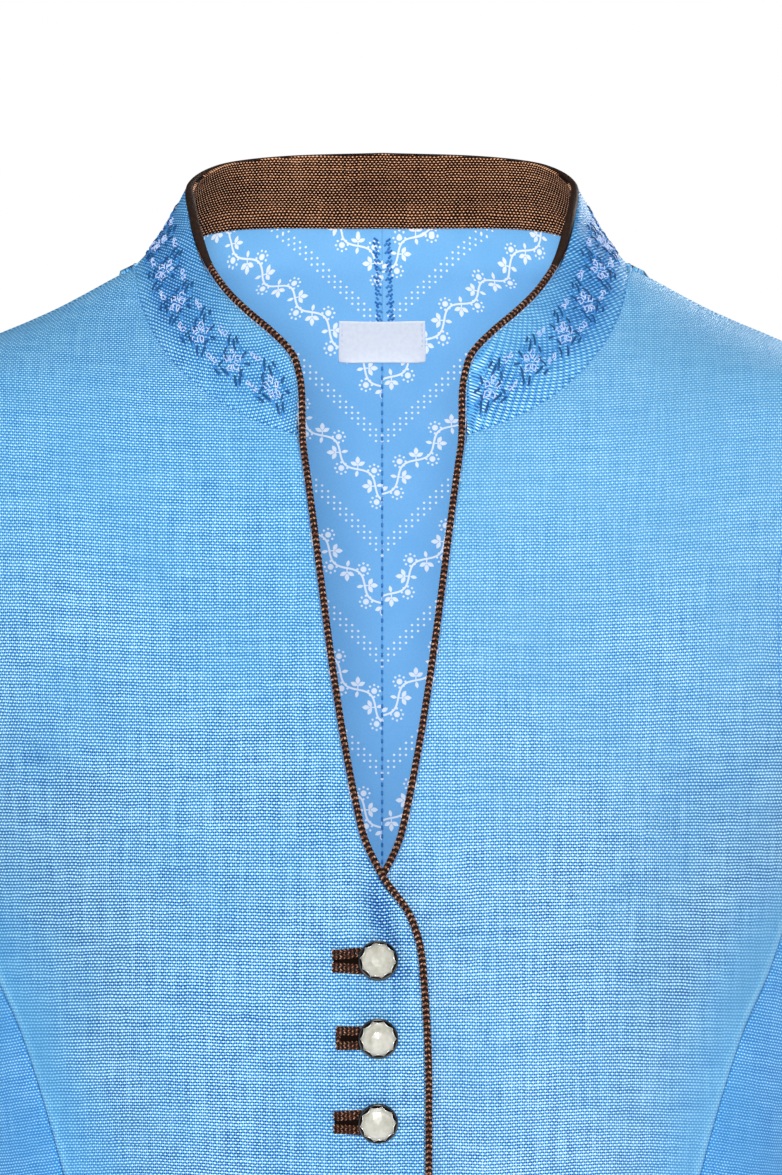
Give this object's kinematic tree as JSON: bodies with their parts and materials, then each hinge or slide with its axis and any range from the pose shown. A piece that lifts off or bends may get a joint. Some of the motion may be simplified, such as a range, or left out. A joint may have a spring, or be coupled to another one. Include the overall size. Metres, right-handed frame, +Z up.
{
  "type": "dirndl",
  "caption": "Sleeveless fitted linen dirndl with a stand collar, a deep buttoned V neckline with braided edging and a gathered skirt, in its worn shape.",
  "frame": {"origin": "midway between the two points where the shoulder seams meet the collar, where the wearer carries it", "axes": "+Z up, +X towards the wearer's left, the front faces -Y"},
  "size_m": [0.6943, 0.6241, 1.1487],
  "materials": {
    "linen_blue": "plain-woven sky-blue linen, matt with a soft slubby weave",
    "linen_brown": "plain-woven brown linen, lighter and darker threads",
    "lining_print": "smooth blue cotton with a white garland and dot print",
    "braid_brown": "dark brown braided cord with lighter strands",
    "button_metal": "oxidised silver, dark in the hollows",
    "button_stone": "cream pearly cabochon, glossy",
    "label_white": "white woven label, bare"
  },
  "bodies": {
    "root": {"front_right": "linen_blue", "front_left": "linen_blue", "side_front_right": "linen_blue", "side_front_left": "linen_blue", "back_right": "linen_blue", "back_left": "linen_blue", "collar_outer": "linen_blue", "skirt_front": "linen_blue", "skirt_back": "linen_blue", "collar_facing": "linen_brown", "lining_right": "lining_print", "lining_left": "lining_print", "edging_right": "braid_brown", "edging_left": "braid_brown", "label": "label_white", "button_setting_1": "button_metal", "button_stone_1": "button_stone", "buttonhole_1": "braid_brown", "button_setting_2": "button_metal", "button_stone_2": "button_stone", "buttonhole_2": "braid_brown", "button_setting_3": "button_metal", "button_stone_3": "button_stone", "buttonhole_3": "braid_brown", "button_setting_4": "button_metal", "button_stone_4": "button_stone", "buttonhole_4": "braid_brown", "button_setting_5": "button_metal", "button_stone_5": "button_stone", "buttonhole_5": "braid_brown", "button_setting_6": "button_metal", "button_stone_6": "button_stone", "buttonhole_6": "braid_brown"}
  },
  "joints": []
}
